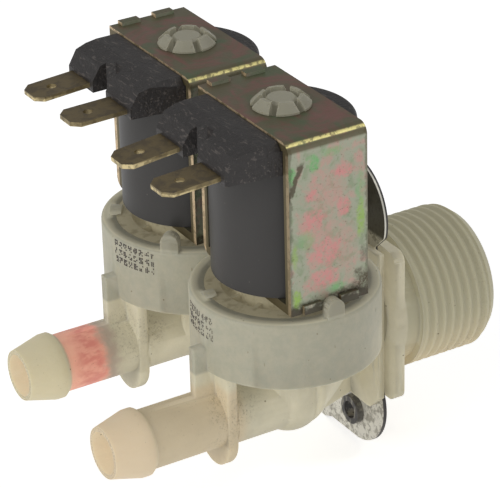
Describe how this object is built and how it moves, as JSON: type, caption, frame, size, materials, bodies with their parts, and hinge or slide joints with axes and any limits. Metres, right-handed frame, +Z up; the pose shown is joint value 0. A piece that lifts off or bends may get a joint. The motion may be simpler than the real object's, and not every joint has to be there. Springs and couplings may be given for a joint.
{
  "type": "ice maker solenoid valve",
  "caption": "Solenoid water valve for an ice maker: threaded inlet, coils in bent yokes with blade terminals, sprung plungers in wells, barbed hose outlets, slotted bracket.",
  "frame": {"origin": "on the inlet axis, in the outer face of the mounting bracket, midway between its tapped holes", "axes": "+X out of the threaded inlet, +Z up towards the coils, +Y towards the rear coil"},
  "size_m": [0.0808, 0.0624, 0.0804],
  "materials": {
    "body_plastic": "translucent satin, natural",
    "bracket_steel": "galvanised, mottled",
    "strainer_plastic": "satin",
    "coil_plastic": "satin, dark grey",
    "terminal_brass": "dull, darkened",
    "yoke_steel": "zinc plated, yellow passivated",
    "guide_plastic": "satin, natural",
    "red_plastic": "satin",
    "former_plastic": "satin",
    "winding_copper": "enamelled wire",
    "core_steel": "bright",
    "spring_steel": "bright",
    "seal_rubber": "matt"
  },
  "bodies": {
    "valve": {"valve_body": "body_plastic", "mounting_bracket": "bracket_steel", "inlet_strainer": "strainer_plastic", "front_coil_moulding": "coil_plastic", "front_terminal_inner": "terminal_brass", "front_terminal_outer": "terminal_brass", "front_yoke_upper": "yoke_steel", "front_yoke_lower": "yoke_steel", "front_guide_tube": "guide_plastic", "front_regulator_body": "guide_plastic", "front_bobbin": "former_plastic", "front_winding": "winding_copper", "front_sleeve_lower": "core_steel", "front_sleeve_upper": "core_steel", "front_plunger_spring": "spring_steel", "front_diaphragm": "seal_rubber", "front_regulator_ring": "seal_rubber", "rear_coil_moulding": "coil_plastic", "rear_terminal_inner": "terminal_brass", "rear_terminal_outer": "terminal_brass", "rear_yoke_upper": "yoke_steel", "rear_yoke_lower": "yoke_steel", "rear_guide_tube": "guide_plastic", "rear_regulator_body": "red_plastic", "rear_bobbin": "former_plastic", "rear_winding": "winding_copper", "rear_sleeve_lower": "core_steel", "rear_sleeve_upper": "core_steel", "rear_plunger_spring": "spring_steel", "rear_diaphragm": "seal_rubber", "rear_regulator_ring": "seal_rubber"},
    "front_armature": {"front_plunger": "core_steel", "front_plunger_tip": "seal_rubber"},
    "front_pilot_disc": {"front_diaphragm_insert": "guide_plastic"},
    "rear_armature": {"rear_plunger": "core_steel", "rear_plunger_tip": "seal_rubber"},
    "rear_pilot_disc": {"rear_diaphragm_insert": "guide_plastic"}
  },
  "joints": [
    {"name": "front_plunger_lift", "type": "slide", "parent": "valve", "child": "front_armature", "axis": [0, 0, 1], "range_m": [0, 0.0022], "stiffness_N_per_m": 150, "springref_m": -0.003, "deforming": ["front_plunger_spring"]},
    {"name": "front_disc_lift", "type": "slide", "parent": "valve", "child": "front_pilot_disc", "axis": [0, 0, 1], "range_m": [0, 0.0016]},
    {"name": "rear_plunger_lift", "type": "slide", "parent": "valve", "child": "rear_armature", "axis": [0, 0, 1], "range_m": [0, 0.0022], "stiffness_N_per_m": 150, "springref_m": -0.003, "deforming": ["rear_plunger_spring"]},
    {"name": "rear_disc_lift", "type": "slide", "parent": "valve", "child": "rear_pilot_disc", "axis": [0, 0, 1], "range_m": [0, 0.0016]}
  ],
  "couplings": [
    {"joint": "front_disc_lift", "follows": "front_plunger_lift", "ratio": 0.7},
    {"joint": "rear_disc_lift", "follows": "rear_plunger_lift", "ratio": 0.7}
  ]
}
